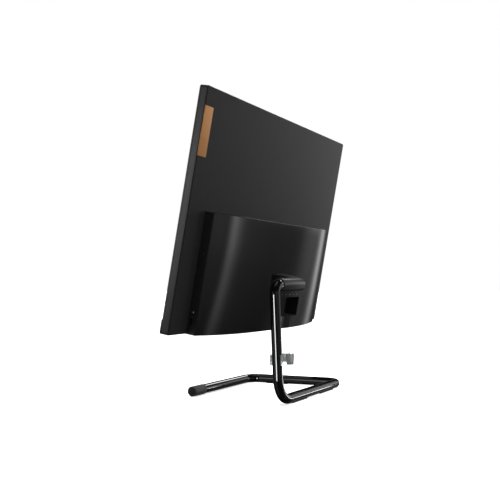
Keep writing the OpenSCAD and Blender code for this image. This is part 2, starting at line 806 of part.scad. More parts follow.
// Rubber strips under the rear bar and the side bar
module base_pads() {
    color(rubber_grey) difference() {
        union() {
            block([-150, leg_y - pad_w / 2, 0], [-90, leg_y + pad_w / 2, 2.4]);
            block([-30, leg_y - pad_w / 2, 0], [30, leg_y + pad_w / 2, 2.4]);
            block([side_bar_x - pad_w / 2, -60, 0], [side_bar_x + pad_w / 2, -20, 2.4]);
        }
        translate([0, leg_y, tube_z]) rod_x(-200, 60, tube_r);
        translate([side_bar_x, 0, tube_z]) rod_y(-100, 60, tube_r);
    }
}

// Snap ring open to one side, with rolled lips, and an open loop behind it that holds a cable
module cable_clip() {
    leg_at = (clip_z - leg_bottom[1]) / cos(leg_lean);
    ring_out = clip_ring_r + clip_wall;
    loop_top = clip_h + loop_rise;
    color([0.75, 0.77, 0.8, 0.6])
        translate([leg_bottom[0], leg_y, leg_bottom[1]]) rotate([0, leg_lean, 0])
        translate([0, 0, leg_at - clip_h / 2]) {
            difference() {
                union() {
                    cylinder(h = clip_h, r = ring_out);
                    translate([0, loop_y, loop_rise]) cylinder(h = clip_h, r = loop_r + clip_wall);
                    block([-web_half, ring_out - clip_wall / 2, web_z],
                          [web_half, loop_y - loop_r, loop_top]);
                }
                translate([0, 0, -eps]) cylinder(h = clip_h + 2 * eps, r = clip_ring_r);
                block([lip_x, -ring_out - eps, -eps], [ring_out + eps, ring_out + eps, clip_h + eps]);
                translate([0, loop_y, -eps]) cylinder(h = loop_top + 2 * eps, r = loop_r);
                block([-loop_r - clip_wall - eps, loop_y - loop_gap, -eps],
                      [0, loop_y + loop_gap, loop_top + eps]);
            }
            for (side = [-1, 1]) translate([lip_x, side * lip_y, 0]) cylinder(h = clip_h, r = lip_r);
        }
}

// ---------- assembly ----------

front_bezel();
chin_cover();
lcd_panel();
light_guide();
led_strip();
lcd_back_plate();
main_chassis();
rear_cover();
compute_cover();
io_bay();
badge_plate();
motherboard();
processor();
cold_plate();
heat_pipe();
fin_stack();
fan_housing();
fan_impeller();
memory_module_1();
memory_module_2();
solid_state_drive();
wireless_card();
coin_cell();
io_board();
power_inlet();
network_port();
video_port();
usb_ports();
hard_drive();
drive_bracket();
speaker_left();
speaker_right();
camera_module();
camera_shutter();
microphone_board();
power_switch();
power_button();
side_board();
audio_jack();
side_port();
activity_light();
antenna_left();
antenna_right();
display_cable();
board_screws();
cover_screws();
hinge_bracket();
hinge_screws();
hinge_cover();
hinge_barrel();
barrel_cap();
hinge_bushes();
hinge_shaft();
friction_washers();
shaft_nut();
tube_plug();
stand_tube();
foot_sleeve();
base_pads();
cable_clip();
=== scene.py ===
import json
import math

import bmesh
import bpy
from mathutils import Matrix, Vector


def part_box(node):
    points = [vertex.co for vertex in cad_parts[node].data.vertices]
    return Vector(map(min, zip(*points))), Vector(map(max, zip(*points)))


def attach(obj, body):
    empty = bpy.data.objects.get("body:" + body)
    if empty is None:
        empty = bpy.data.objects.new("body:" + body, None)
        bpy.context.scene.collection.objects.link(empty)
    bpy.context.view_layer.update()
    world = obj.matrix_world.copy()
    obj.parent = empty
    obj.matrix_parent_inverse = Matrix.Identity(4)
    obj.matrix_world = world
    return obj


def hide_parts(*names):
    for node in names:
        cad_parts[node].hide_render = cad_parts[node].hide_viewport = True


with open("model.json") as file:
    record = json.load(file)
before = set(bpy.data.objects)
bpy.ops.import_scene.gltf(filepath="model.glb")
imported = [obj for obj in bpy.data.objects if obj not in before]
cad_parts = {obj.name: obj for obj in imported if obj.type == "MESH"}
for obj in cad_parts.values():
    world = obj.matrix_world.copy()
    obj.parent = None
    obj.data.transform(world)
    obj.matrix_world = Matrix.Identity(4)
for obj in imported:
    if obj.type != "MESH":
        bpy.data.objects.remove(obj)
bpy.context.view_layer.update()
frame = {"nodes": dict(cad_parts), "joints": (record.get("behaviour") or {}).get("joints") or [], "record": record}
SCENE = bpy.context.scene
NODES = frame["nodes"]
JOINTS = {j["name"]: j for j in frame["joints"]}

# ---------- frames ----------
# Pieces of the head are drawn in millimetres in the head's own frame: X across, Y behind the slab's rear face
# and Z up the slab. HEAD maps that to the row frame. The stand is drawn in millimetres in the row frame.
# The fan's axis stands square to the slab, so it tells how far the slab leans.

FAN_AXIS = JOINTS["fan_spin"]["axis"]
COS, SIN = FAN_AXIS[1], -FAN_AXIS[2]
TURN = Matrix(((1, 0, 0), (0, COS, SIN), (0, -SIN, COS)))
UNTURN = TURN.transposed()
MM = 1000


def unturned(node):
    """A CAD node's box along the slab's own directions, in metres."""
    points = [UNTURN @ v.co for v in NODES[node].data.vertices]
    return (Vector(min(p[k] for p in points) for k in range(3)),
            Vector(max(p[k] for p in points) for k in range(3)))


COVER_LOW, COVER_HIGH = unturned("rear_cover")
HEAD_ORIGIN = Vector((0, COVER_HIGH[1], COVER_LOW[2]))
HEAD = Matrix.Translation(TURN @ HEAD_ORIGIN) @ TURN.to_4x4() @ Matrix.Scale(0.001, 4)
STAND = Matrix.Scale(0.001, 4)


def head_box(node):
    """A CAD node's box in the head's frame, in millimetres."""
    low, high = unturned(node)
    return (low - HEAD_ORIGIN) * MM, (high - HEAD_ORIGIN) * MM


def middle(node):
    """The middle of a CAD node's box in the head's frame, in millimetres."""
    return [(a + b) / 2 for a, b in zip(*head_box(node))]


def head_point(mount):
    """Where a mount of the record is, in the head's frame, in millimetres."""
    row = next(m for m in frame["record"]["mounts"] if m["name"] == mount)
    return (UNTURN @ Vector(row["pos_m"]) - HEAD_ORIGIN) * MM


def stand_box(node):
    """A CAD node's box in the row frame, in millimetres."""
    low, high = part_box(node)
    return low * MM, high * MM


# ---------- mesh helpers ----------

PAST = 1.0  # how far a cutter runs past the wall that it cuts
SHARP = 0.01  # rim of a cutter, which leaves the edge of its hole sharp


def circle(centre, radius, start, end, steps):
    """Points on an arc, both ends included, angles in degrees."""
    angles = [math.radians(start + (end - start) * i / steps) for i in range(steps + 1)]
    return [(centre[0] + radius * math.cos(a), centre[1] + radius * math.sin(a)) for a in angles]


def round_rect(x0, x1, z0, z1, radius, steps=8):
    """Outline of a rectangle with four round corners."""
    corners = (((x1 - radius, z1 - radius), 0), ((x0 + radius, z1 - radius), 90),
               ((x0 + radius, z0 + radius), 180), ((x1 - radius, z0 + radius), 270))
    return [p for centre, start in corners for p in circle(centre, radius, start, start + 90, steps)]


def edge_rows(start, end, r_start, r_end, steps=5):
    """(position, inset) rows of a wall from start up to end whose two edges are rounded."""
    def quarter(radius):
        if radius <= 0:
            return [(0.0, 0.0)]
        angles = [math.pi / 2 * k / steps for k in range(steps + 1)]
        return [(radius * (1 - math.cos(a)), radius * (1 - math.sin(a))) for a in angles]

    return ([(start + d, i) for d, i in quarter(r_start)]
            + [(end - d, i) for d, i in reversed(quarter(r_end))])


def loft(rings):
    """Skin over closed rings of points, with both ends filled."""
    bm = bmesh.new()
    rows = [[bm.verts.new(p) for p in ring] for ring in rings]
    count = len(rows[0])
    for a, b in zip(rows, rows[1:]):
        for i in range(count):
            j = (i + 1) % count
            bm.faces.new((a[i], a[j], b[j], b[i]))
    bm.faces.new(reversed(rows[0]))
    bm.faces.new(rows[-1])
    bmesh.ops.recalc_face_normals(bm, faces=bm.faces)
    return bm


def plate(x0, x1, z0, z1, radius, y0, y1, edge0, edge1, steps=5):
    """Rounded rectangle in X and Z, from y0 to y1, with both rims rounded."""
    rings = []
    for y, inset in edge_rows(y0, y1, edge0, edge1, steps):
        outline = round_rect(x0 + inset, x1 - inset, z0 + inset, z1 - inset, max(radius - inset, 0.05))
        rings.append([(x, y, z) for x, z in outline])
    return loft(rings)


def prism(points, low, high, axis=1):
    """A flat outline pushed along one axis, from low to high."""
    def place(a, b, height):
        p = [a, b]
        p.insert(axis, height)
        return p

    return loft([[place(a, b, low) for a, b in points], [place(a, b, high) for a, b in points]])


def box(low, high):
    """A block between two opposite corners."""
    (x0, y0, z0), (x1, y1, z1) = low, high
    return prism([(x0, z0), (x1, z0), (x1, z1), (x0, z1)], y0, y1)


def join(*parts):
    """One mesh out of several; the others are freed."""
    first = parts[0]
    for part in parts[1:]:
        mesh = bpy.data.meshes.new("part")
        part.to_mesh(mesh)
        part.free()
        first.from_mesh(mesh)
        bpy.data.meshes.remove(mesh)
    return first


def lathe(profile, axis_matrix, steps, closed=False):
    """Turns (radius, height) points about Z, then places them. A closed profile makes a ring."""
    rings = []
    for k in range(steps):
        a = 2 * math.pi * k / steps
        rings.append([(r * math.cos(a), r * math.sin(a), h) for r, h in profile])
    bm = bmesh.new()
    rows = [[bm.verts.new(p) for p in ring] for ring in rings]
    count = len(profile)
    for k in range(steps):
        a, b = rows[k], rows[(k + 1) % steps]
        for i in range(count if closed else count - 1):
            j = (i + 1) % count
            bm.faces.new((a[i], b[i], b[j], a[j]))
    bmesh.ops.remove_doubles(bm, verts=bm.verts, dist=1e-4)
    bmesh.ops.recalc_face_normals(bm, faces=bm.faces)
    bm.transform(axis_matrix)
    return bm


def along_x(x, y, z):
    """Turns a piece that was lathed about Z to lie along X."""
    return Matrix.Translation((x, y, z)) @ Matrix.Rotation(math.radians(90), 4, "Y")


def along_y(x, y, z):
    """Turns a piece that was lathed about Z to lie along Y."""
    return Matrix.Translation((x, y, z)) @ Matrix.Rotation(math.radians(-90), 4, "X")


def ring_profile(r_in, r_out, low, high, rim):
    """Closed section of a sleeve whose four rims are rounded."""
    corners = (((r_out - rim, high - rim), 0), ((r_in + rim, high - rim), 90),
               ((r_in + rim, low + rim), 180), ((r_out - rim, low + rim), 270))
    return [p for centre, start in corners for p in circle(centre, rim, start, start + 90, 4)]


def pin_profile(radius, low, high, rim):
    """Section of a solid pin whose two rims are rounded."""
    return ([(0, low)] + circle((radius - rim, low + rim), rim, -90, 0, 4)
            + circle((radius - rim, high - rim), rim, 0, 90, 4) + [(0, high)])


def sweep(path, radius, sides):
    """A round tube along a path of points, closed at both ends."""
    angles = [2 * math.pi * k / sides for k in range(sides)]
    tangent = (path[1] - path[0]).normalized()
    side = tangent.orthogonal().normalized()
    rings = []
    for i, p in enumerate(path):
        ahead = (path[min(i + 1, len(path) - 1)] - path[max(i - 1, 0)]).normalized()
        side = tangent.rotation_difference(ahead) @ side
        tangent = ahead
        up = tangent.cross(side)
        rings.append([p + side * (radius * math.cos(a)) + up * (radius * math.sin(a)) for a in angles])
    return loft(rings)


def boolean(base, cutter, operation="DIFFERENCE"):
    """The base cut by the cutter, joined to it or crossed with it. Both are freed."""
    objects = []
    for bm in (base, cutter):
        mesh = bpy.data.meshes.new("cut")
        bm.to_mesh(mesh)
        bm.free()
        objects.append(bpy.data.objects.new("cut", mesh))
        SCENE.collection.objects.link(objects[-1])
    modifier = objects[0].modifiers.new("cut", "BOOLEAN")
    modifier.operation = operation
    modifier.solver = "EXACT"
    modifier.object = objects[1]
    bpy.context.view_layer.update()
    result = bmesh.new()
    result.from_object(objects[0], bpy.context.evaluated_depsgraph_get())
    for o in objects:
        mesh = o.data
        bpy.data.objects.remove(o)
        bpy.data.meshes.remove(mesh)
    bmesh.ops.remove_doubles(result, verts=result.verts, dist=1e-5)
    return result


def soften(bm, width, segments, angle=30):
    """Rounds every edge sharper than angle, in degrees."""
    edges = [e for e in bm.edges if len(e.link_faces) == 2 and e.calc_face_angle(0) > math.radians(angle)]
    bmesh.ops.bevel(bm, geom=edges, offset=width, offset_type="OFFSET", segments=segments,
                    profile=0.5, affect="EDGES", clamp_overlap=True)
    return bm


def split_faces(bm, test):
    """Two meshes: one keeps the faces that pass the test, the other has the rest."""
    rest = bm.copy()
    for mesh, wanted in ((bm, True), (rest, False)):
        spare = [face for face in mesh.faces if test(face) != wanted]
        bmesh.ops.delete(mesh, geom=spare, context="FACES")
    return bm, rest


def piece(name, bm, matrix, body, slot, nodes=(), angle=35, mirrored=True):
    """Makes a finished piece of a mesh: placed, shaded and bound to its body.

    angle: edges sharper than this many degrees stay sharp.
    mirrored: whether other pieces show it in their gloss.
    """
    bm.transform(matrix)
    mesh = bpy.data.meshes.new(name)
    bm.to_mesh(mesh)
    bm.free()
    mesh.polygons.foreach_set("use_smooth", [True] * len(mesh.polygons))
    mesh.set_sharp_from_angle(angle=math.radians(angle))
    mesh.materials.append(MATERIALS[slot])
    made = bpy.data.objects.new(name, mesh)
    made.visible_glossy = mirrored
    SCENE.collection.objects.link(made)
    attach(made, body)
    if nodes:
        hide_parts(*nodes)
    return made


# ---------- materials ----------

FINE_TO_BROAD = 60  # the patches of colour are this many times larger than the grain of the surface
PRINTED_BORDER = 2.6  # black border printed on the screen's glass, in millimetres


def grain(name, dark, light, roughness, metallic=0.0, scale=900.0, stretch=(1, 1, 1), bump=0.05,
          bump_distance=0.0002, spread=0.06, coat=0.0, coat_roughness=0.1, specular=0.5, detail=4.0,
          transmission=0.0):
    """Principled material whose colour, roughness and relief vary with noise at the scale of its finish."""
    material = bpy.data.materials.new(name)
    material.use_nodes = True
    tree = material.node_tree
    tree.nodes.clear()
    new, link = tree.nodes.new, tree.links.new
    output = new("ShaderNodeOutputMaterial")
    shader = new("ShaderNodeBsdfPrincipled")
    place = new("ShaderNodeTexCoord")
    mapping = new("ShaderNodeMapping")
    fine = new("ShaderNodeTexNoise")
    broad = new("ShaderNodeTexNoise")
    tint = new("ShaderNodeMix")
    tint.data_type = "RGBA"
    spread_out = new("ShaderNodeMapRange")
    relief = new("ShaderNodeBump")
    mapping.inputs["Scale"].default_value = stretch
    fine.inputs["Scale"].default_value = scale
    fine.inputs["Detail"].default_value = detail
    broad.inputs["Scale"].default_value = scale / FINE_TO_BROAD
    broad.inputs["Detail"].default_value = 3
    tint.inputs["A"].default_value = (*dark, 1)
    tint.inputs["B"].default_value = (*light, 1)
    spread_out.inputs["To Min"].default_value = max(roughness - spread, 0.0)
    spread_out.inputs["To Max"].default_value = min(roughness + spread, 1.0)
    relief.inputs["Strength"].default_value = bump
    relief.inputs["Distance"].default_value = bump_distance
    shader.inputs["Metallic"].default_value = metallic
    shader.inputs["Specular IOR Level"].default_value = specular
    shader.inputs["Coat Weight"].default_value = coat
    shader.inputs["Coat Roughness"].default_value = coat_roughness
    shader.inputs["Transmission Weight"].default_value = transmission
    link(place.outputs["Object"], mapping.inputs["Vector"])
    link(mapping.outputs["Vector"], fine.inputs["Vector"])
    link(place.outputs["Object"], broad.inputs["Vector"])
    link(broad.outputs["Fac"], tint.inputs["Factor"])
    link(fine.outputs["Fac"], spread_out.inputs["Value"])
    link(fine.outputs["Fac"], relief.inputs["Height"])
    link(spread_out.outputs["Result"], shader.inputs["Roughness"])
    link(relief.outputs["Normal"], shader.inputs["Normal"])
    link(tint.outputs["Result"], shader.inputs["Base Color"])
    link(shader.outputs["BSDF"], output.inputs["Surface"])
    return material


def screen_material():
    """Dark glass over an unlit panel, with the black printed border round the picture area."""
    material = grain("screen_glass", (0.004, 0.004, 0.005), (0.006, 0.006, 0.008), 0.4, scale=2600,
                     bump=0.02, spread=0.03, specular=0.4)
    tree = material.node_tree
    new, link = tree.nodes.new, tree.links.new
    low, high = head_box("lcd_panel")
    place = new("ShaderNodeTexCoord")
    split = new("ShaderNodeSeparateXYZ")
    link(place.outputs["Generated"], split.inputs["Vector"])
    border = None
    for axis, span in (("X", high[0] - low[0]), ("Z", high[2] - low[2])):
        far = new("ShaderNodeMath")
        far.operation = "SUBTRACT"
        far.inputs[1].default_value = 0.5
        size = new("ShaderNodeMath")
        size.operation = "ABSOLUTE"
        inside = new("ShaderNodeMath")
        inside.operation = "LESS_THAN"
        inside.inputs[1].default_value = 0.5 - PRINTED_BORDER / span
        link(split.outputs[axis], far.inputs[0])
        link(far.outputs[0], size.inputs[0])
        link(size.outputs[0], inside.inputs[0])
        if border is None:
            border = inside.outputs[0]
        else:
            both = new("ShaderNodeMath")
            both.operation = "MULTIPLY"
            link(border, both.inputs[0])
            link(inside.outputs[0], both.inputs[1])
            border = both.outputs[0]
    picture = new("ShaderNodeMix")
    picture.data_type = "RGBA"
    picture.inputs["A"].default_value = (0.0015, 0.0015, 0.0015, 1)
    shader = next(n for n in tree.nodes if n.type == "BSDF_PRINCIPLED")
    tint = shader.inputs["Base Color"].links[0].from_socket
    link(border, picture.inputs["Factor"])
    link(tint, picture.inputs["B"])
    link(picture.outputs["Result"], shader.inputs["Base Color"])
    return material


def grey(value):
    """A neutral colour that is a touch blue, as black plastic is."""
    return value, value, value * 1.03


def make_materials():
    """Every material slot of the record, by its name."""
    return {
        "bezel_plastic": grain("bezel_plastic", grey(0.01), grey(0.014), 0.3, scale=2200, bump=0.08,
                               bump_distance=0.00006),
        "screen_glass": screen_material(),
        "light_guide_acrylic": grain("light_guide_acrylic", (0.78, 0.8, 0.84), (0.86, 0.88, 0.9), 0.12,
                                     scale=700, bump=0.02, transmission=0.5),
        "led_board": grain("led_board", (0.74, 0.74, 0.66), (0.84, 0.84, 0.76), 0.5, scale=900, bump=0.05),
        "pressed_steel": grain("pressed_steel", (0.42, 0.43, 0.45), (0.56, 0.57, 0.59), 0.38, 0.9,
                               scale=420, stretch=(1, 1, 0.2), bump=0.06),
        "matt_cover_plastic": grain("matt_cover_plastic", grey(0.011), grey(0.0135), 0.46, scale=2600,
                                    bump=0.12, bump_distance=0.00006, spread=0.05, specular=0.2),
        "satin_housing_plastic": grain("satin_housing_plastic", grey(0.003), grey(0.004), 0.1,
                                       scale=2400, bump=0.02, bump_distance=0.00003, spread=0.02),
        "bay_plastic": grain("bay_plastic", grey(0.007), grey(0.01), 0.5, scale=2000, bump=0.1),
        "badge_metal": grain("badge_metal", (0.42, 0.17, 0.05), (0.55, 0.26, 0.09), 0.34, 0.6,
                             scale=1500, stretch=(0.25, 0.25, 3), bump=0.12, bump_distance=0.00005),
        "circuit_board": grain("circuit_board", (0.008, 0.07, 0.03), (0.02, 0.15, 0.07), 0.4, scale=500,
                               bump=0.2, coat=0.3),
        "processor_package": grain("processor_package", (0.15, 0.16, 0.18), (0.3, 0.31, 0.34), 0.3, 0.6,
                                   scale=900, bump=0.05),
        "copper": grain("copper", (0.62, 0.3, 0.17), (0.78, 0.42, 0.26), 0.25, 1.0, scale=600, bump=0.05),
        "fin_aluminium": grain("fin_aluminium", (0.6, 0.61, 0.63), (0.74, 0.75, 0.77), 0.35, 1.0, scale=900,
                               stretch=(0.2, 1, 1), bump=0.08),
        "fan_plastic": grain("fan_plastic", grey(0.012), grey(0.022), 0.4, scale=1500, bump=0.08),
        "cell_steel": grain("cell_steel", (0.62, 0.63, 0.64), (0.76, 0.77, 0.78), 0.22, 1.0, scale=500,
                            bump=0.03),
        "socket_metal": grain("socket_metal", (0.3, 0.3, 0.31), (0.4, 0.4, 0.41), 0.34, 1.0, scale=1200,
                              bump=0.05),
        "socket_plastic": grain("socket_plastic", grey(0.006), grey(0.012), 0.3, scale=1500, bump=0.06),
        "drive_metal": grain("drive_metal", (0.4, 0.41, 0.43), (0.55, 0.56, 0.58), 0.34, 0.95, scale=500,
                             bump=0.08),
        "camera_plastic": grain("camera_plastic", grey(0.002), grey(0.004), 0.08, scale=1500, bump=0.02,
                                coat=1.0, coat_roughness=0.02),
        "shutter_plastic": grain("shutter_plastic", (0.3, 0.03, 0.02), (0.42, 0.05, 0.03), 0.45, scale=1800,
                                 bump=0.1),
        "button_plastic": grain("button_plastic", grey(0.03), grey(0.045), 0.35, scale=2200, bump=0.08),
        "light_lens": grain("light_lens", (0.6, 0.6, 0.56), (0.75, 0.75, 0.7), 0.2, scale=900, bump=0.02,
                            transmission=0.4),
        "ribbon_film": grain("ribbon_film", (0.5, 0.26, 0.06), (0.62, 0.36, 0.1), 0.3, scale=700,
                             stretch=(4, 1, 0.1), bump=0.15, coat=0.4),
        "screw_steel": grain("screw_steel", (0.1, 0.1, 0.105), (0.2, 0.2, 0.21), 0.32, 1.0, scale=1500,
                             bump=0.06),
        "bracket_steel": grain("bracket_steel", (0.4, 0.41, 0.42), (0.52, 0.53, 0.55), 0.4, 0.95, scale=400,
                               bump=0.1),
        "barrel_metal": grain("barrel_metal", grey(0.014), grey(0.019), 0.31, scale=1800, bump=0.06,
                              specular=0.35, spread=0.04),
        "bush_bronze": grain("bush_bronze", (0.42, 0.32, 0.16), (0.55, 0.43, 0.23), 0.35, 1.0, scale=900,
                             bump=0.08),
        "gloss_black_tube": grain("gloss_black_tube", grey(0.0012), grey(0.002), 0.09, scale=500, bump=0.01,
                                  spread=0.02, coat=0.3, coat_roughness=0.04, detail=2),
        "grey_rubber": grain("grey_rubber", grey(0.026), grey(0.036), 0.5, scale=1800, bump=0.3,
                             bump_distance=0.0001, spread=0.1),
        "clear_grey_clip": grain("clear_grey_clip", (0.3, 0.31, 0.32), (0.42, 0.43, 0.44), 0.28, scale=700,
                                 bump=0.04, transmission=0.55),
    }


def dress_nodes():
    """Gives the CAD nodes that stay in the picture their materials and keeps them out of any gloss."""
    for part in frame["record"]["subparts"]:
        node = NODES[part["node"]]
        node.data.materials.clear()
        node.data.materials.append(MATERIALS[part["material_slot"]])
        node.data.set_sharp_from_angle(angle=math.radians(30))
        node.visible_glossy = False


MATERIALS = make_materials()

# ---------- display ----------

SLAB_LOW, SLAB_HIGH = head_box("rear_cover")
CORNER = 3.5
RIM = 2.4
SEAM = 0.05
WALL = 2.2
CHIN_WALL = 1.6
LENS_RIM = 0.5
LENS_R = 2.9
FACING_BACK = 0.8  # least Y of the normal of a face that counts as the slab's rear


def build_slab():
    """The slab's rear cover with its rim in another finish, the screen and the badge."""
    x0, y0, z0 = SLAB_LOW
    x1, y1, z1 = SLAB_HIGH
    front_round, rear_round = 0.25, 1.3
    slab = boolean(plate(x0, x1, z0, z1, CORNER, y0 + SEAM, y1, front_round, rear_round, 8), button_well())
    cover, rim = split_faces(slab, lambda face: face.normal.y > FACING_BACK)
    piece("slab_cover", cover, HEAD, "head", "matt_cover_plastic", ["rear_cover"])
    piece("slab_rim", rim, HEAD, "head", "bezel_plastic")

    low, high = head_box("lcd_panel")
    glass = plate(low[0], high[0], low[2], high[2], 0.4, low[1], high[1], 0.2, 0.1)
    piece("screen", glass, HEAD, "head", "screen_glass", ["lcd_panel"])

    low, high = head_box("badge_plate")
    badge = plate(low[0], high[0], low[2], high[2], 1.0, low[1], high[1], 0, 0.3)
    piece("badge", badge, HEAD, "head", "badge_metal", ["badge_plate"])


def build_bezel():
    """The rim round the screen, open at its foot, where the chin is."""
    low, high = head_box("front_bezel")
    foot = low[2] + SEAM
    waist = (low[2] + high[2]) / 2
    rings = []
    for y, inset in edge_rows(low[1], high[1], 0.5, 0.15):
        outer = round_rect(low[0] + inset, high[0] - inset, low[2], high[2] - inset, CORNER - inset, 6)
        upper_corners = [p for p in outer if p[1] > waist]
        inner_x = high[0] - RIM + inset
        inner_z = high[2] - RIM + inset
        outline = [(high[0] - inset, foot), *upper_corners, (low[0] + inset, foot),
                   (-inner_x, foot), (-inner_x, inner_z), (inner_x, inner_z), (inner_x, foot)]
        rings.append([(x, y, z) for x, z in outline])
    piece("bezel_frame", loft(rings), HEAD, "head", "bezel_plastic", ["front_bezel"])


CAP_STEP = 1.4  # the button's flange is this much longer than its cap at each end
WELL_PLAY = 0.3
WELL_TOP = 2.4
CHIN_FRONT = head_box("chin_cover")[0][1]
SHUTTER_LOW, SHUTTER_HIGH = head_box("camera_shutter")
CAMERA_X, _, CAMERA_Z = middle("camera_module")
NUB_WIDTH = 3.0
NUB_HALF = 0.7
NUB_X = SHUTTER_HIGH[0] - NUB_WIDTH - 1.0
SLIDER_FRONT = CHIN_FRONT + 1.9


def button_well():
    """The hole in the underside that the power button moves in."""
    low, high = head_box("power_button")
    end = CAP_STEP - WELL_PLAY
    return box((low[0] + end, low[1] - WELL_PLAY, -PAST), (high[0] - end, high[1] + WELL_PLAY, WELL_TOP))


def build_chin():
    """The hollow strip under the screen, with holes for the camera, its shutter and the microphones."""
    low, high = head_box("chin_cover")
    waist = (low[2] + high[2]) / 2
    rings = []
    for y, inset in edge_rows(low[1], high[1], 0.7, 0.15):
        outer = round_rect(low[0] + inset, high[0] - inset, low[2] + inset, high[2], CORNER - inset, 6)
        lower_corners = [p for p in outer if p[1] < waist]
        top = high[2] - SEAM - inset
        outline = [(high[0] - inset, top), (low[0] + inset, top), *lower_corners]
        rings.append([(x, y, z) for x, z in outline])

    def front_hole(radius, x, steps):
        return lathe(pin_profile(radius, -2 * PAST, 2 * PAST, SHARP), along_y(x, CHIN_FRONT, CAMERA_Z), steps)

    hollow = box((low[0] + WALL, CHIN_FRONT + CHIN_WALL, WALL),
                 (high[0] - WALL, high[1] + PAST, high[2] - CHIN_WALL))
    mic_low, mic_high = head_box("microphone_board")
    camera_hole, mic_hole, mic_end = 2.6, 0.6, 5.0
    travel = JOINTS["shutter_slide"]["range_m"][1] * MM
    slot_half, slot_play = 1.0, 0.2
    slider_slot = plate(NUB_X - travel - slot_play, NUB_X + NUB_WIDTH + slot_play, CAMERA_Z - slot_half,
                        CAMERA_Z + slot_half, 0.95, CHIN_FRONT - PAST, CHIN_FRONT + 2 * PAST, 0, 0)
    cuts = [front_hole(camera_hole, CAMERA_X, 40), front_hole(mic_hole, mic_low[0] + mic_end, 16),
            front_hole(mic_hole, mic_high[0] - mic_end, 16), slider_slot, button_well()]
    shell = boolean(boolean(loft(rings), hollow), join(*cuts))
    piece("chin_front", shell, HEAD, "head", "bezel_plastic", ["chin_cover"])


def build_camera_lens():
    """The camera's collar and its domed lens, just behind the shutter."""
    place = along_y(CAMERA_X, head_box("camera_module")[0][1] - LENS_RIM, CAMERA_Z)
    collar = lathe(ring_profile(1.5, LENS_R, 0, LENS_RIM + 0.1, 0.12), place, 48, closed=True)
    dome_middle, dome_edge, lens_back = 3.2, 1.6, 1.0
    dome = circle((0, dome_middle), LENS_R, -90, -56, 8) + [(dome_edge, lens_back), (0, lens_back)]
    piece("camera_lens", join(collar, lathe(dome, place, 40)), HEAD, "head", "camera_plastic")


def build_shutter():
    """The shutter behind the chin's wall, with the nub that moves in the chin's slot."""
    low, high = SHUTTER_LOW, SHUTTER_HIGH
    slider = plate(low[0], high[0], low[2], high[2], 0.8, SLIDER_FRONT, SLIDER_FRONT + 0.8, 0.1, 0.1)
    nub = plate(NUB_X, NUB_X + NUB_WIDTH, CAMERA_Z - NUB_HALF, CAMERA_Z + NUB_HALF, 0.6,
                low[1], SLIDER_FRONT + 0.2, 0.25, 0)
    piece("shutter_slider", join(slider, nub), HEAD, "shutter", "shutter_plastic", ["camera_shutter"])


def build_button():
    """The power button: a cap in the underside's hole, a longer flange over it and the stem to its switch."""
    low, high = head_box("power_button")
    middle_x, middle_y, _ = middle("power_button")
    cap_top = low[2] + 3.1
    flange_top = low[2] + 4.1
    stem_half = 1.5
    cap = []
    for z, i in edge_rows(low[2], cap_top, 0.35, 0.1):
        plan = round_rect(low[0] + CAP_STEP + i, high[0] - CAP_STEP - i, low[1] + i, high[1] - i,
                          max(1.6 - i, 0.1), 6)
        cap.append([(x, y, z) for x, y in plan])
    flange = []
    for z, i in edge_rows(cap_top, flange_top, 0.15, 0.15):
        plan = round_rect(low[0] + i, high[0] - i, low[1] + i, high[1] - i, 1.0, 6)
        flange.append([(x, y, z) for x, y in plan])
    stem = box((middle_x - stem_half, middle_y - stem_half, flange_top),
               (middle_x + stem_half, middle_y + stem_half, high[2]))
    piece("button_cap", join(loft(cap), loft(flange), stem), HEAD, "button", "button_plastic",
          ["power_button"])


# ---------- computer housing ----------

HOUSE_LOW, HOUSE_HIGH = head_box("compute_cover")
BAY_LOW, BAY_HIGH = head_box("io_bay")
HALF = HOUSE_HIGH[0]
DEEP = HOUSE_HIGH[1]
BEHIND = DEEP + 5
SHALLOW = 14.0
BAY_WALL = 1.6
GAP = 0.1
SIDE_ROUND = 0.9
CORNER_RUN = SIDE_ROUND * 0.97  # how far the side's rounding runs along the rear
ACROSS = 96  # steps across the curved rear
SIDE_FACE_X = HALF - WALL - PAST  # faces farther out than this can belong to the side walls
LOCK_SLOT = (3.0, 7.0)  # its width along Y and its height


def depth(x):
    """Where the housing's rear is, behind the slab, at a distance x from the middle."""
    return DEEP - (DEEP - SHALLOW) * (abs(x) / HALF) ** 3


def section(inset, front):
    """Outline of the housing in X and Y: side wall, round corner, curved rear and back again."""
    half = HALF - inset

    def rear_at(x):
        return depth(x * HALF / half) - inset

    corner = (half, rear_at(half))
    start = (half, rear_at(half) - SIDE_ROUND)
    end = (half - CORNER_RUN, rear_at(half - CORNER_RUN))
    arc = []
    for t in (k / 7 for k in range(8)):
        arc.append(tuple((1 - t) ** 2 * a + 2 * t * (1 - t) * b + t * t * c
                         for a, b, c in zip(start, corner, end)))
    rear_x = [end[0] - 2 * end[0] * k / ACROSS for k in range(1, ACROSS)]
    rear = [(x, rear_at(x)) for x in rear_x]
    return [(half, front)] + arc + rear + [(-x, y) for x, y in reversed(arc)] + [(-half, front)]


def housing_solid():
    """The housing's outer form, filled."""
    return loft([[(x, y, z) for x, y in section(inset, HOUSE_LOW[1])]
                 for z, inset in edge_rows(HOUSE_LOW[2], HOUSE_HIGH[2], SIDE_ROUND, SIDE_ROUND, 4)])


def slots(x0, x1, count, y0, y1, z0, z1, width):
    """Cutters for a row of vent slots whose middles run from x0 to x1."""
    pitch = (x1 - x0) / (count - 1)
    made = []
    for i in range(count):
        x = x0 + i * pitch
        plan = round_rect(x - width / 2, x + width / 2, y0, y1, width / 2 - 0.02, 4)
        made.append(prism(plan, z0, z1, axis=2))
    return made


